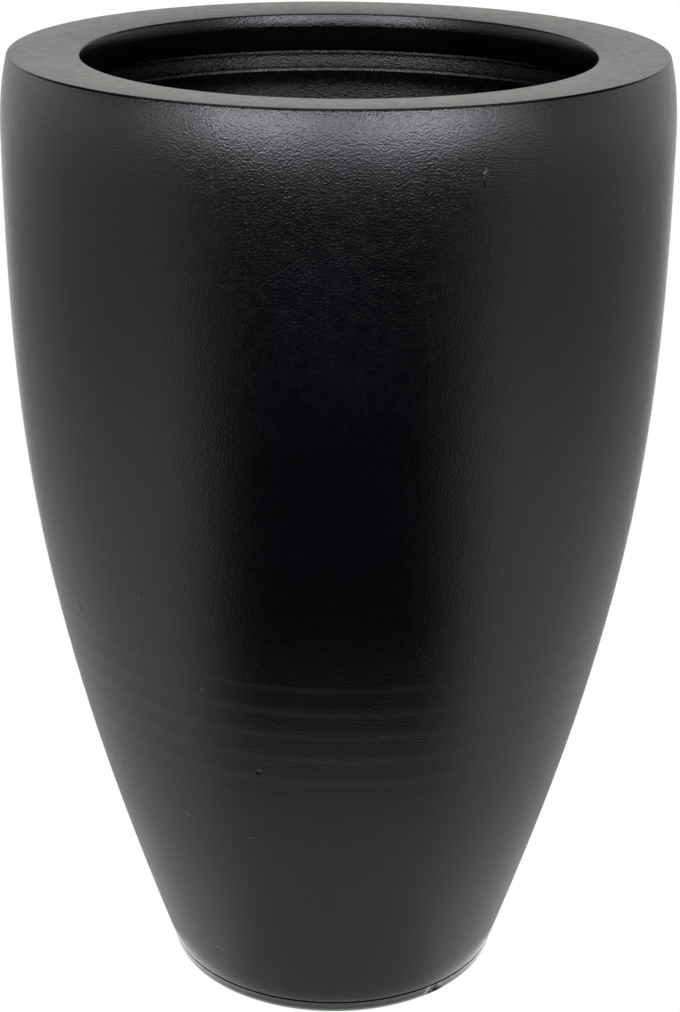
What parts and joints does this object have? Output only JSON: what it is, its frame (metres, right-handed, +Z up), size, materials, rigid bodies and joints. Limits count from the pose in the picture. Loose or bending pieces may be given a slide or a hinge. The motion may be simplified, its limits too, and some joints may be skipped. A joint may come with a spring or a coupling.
{
  "type": "floor planter",
  "caption": "Tall round floor planter with a bowed, tapering body, a thick flat rim turned in at the mouth, a small round foot and a drain plug.",
  "frame": {"origin": "centre of the foot on the floor, under the planter's axis", "axes": "+Z up along the planter's axis, from the foot to the mouth; the body is round, so X and Y are free"},
  "size_m": [0.4086, 0.4086, 0.61],
  "materials": {
    "fiberglass_shell": "satin black coat with a fine sandy grain and faint turned rings",
    "fiberglass_lip": "satin black coat, smooth flat rim",
    "fiberglass_base": "satin black coat",
    "foam": "rigid foam, hidden",
    "resin": "cured filled resin, black, smoothed by hand",
    "rubber": "matt black rubber"
  },
  "bodies": {
    "planter": {"body_shell": "fiberglass_shell", "lip_ring": "fiberglass_lip", "lip_core": "foam", "lip_fillet": "resin", "base_pan": "fiberglass_base", "base_fillet": "resin"},
    "plug": {"drain_plug": "rubber"}
  },
  "joints": [
    {"name": "plug_lift", "type": "slide", "parent": "planter", "child": "plug", "axis": [0, 0, 1], "range_m": [0, 0.65]}
  ]
}
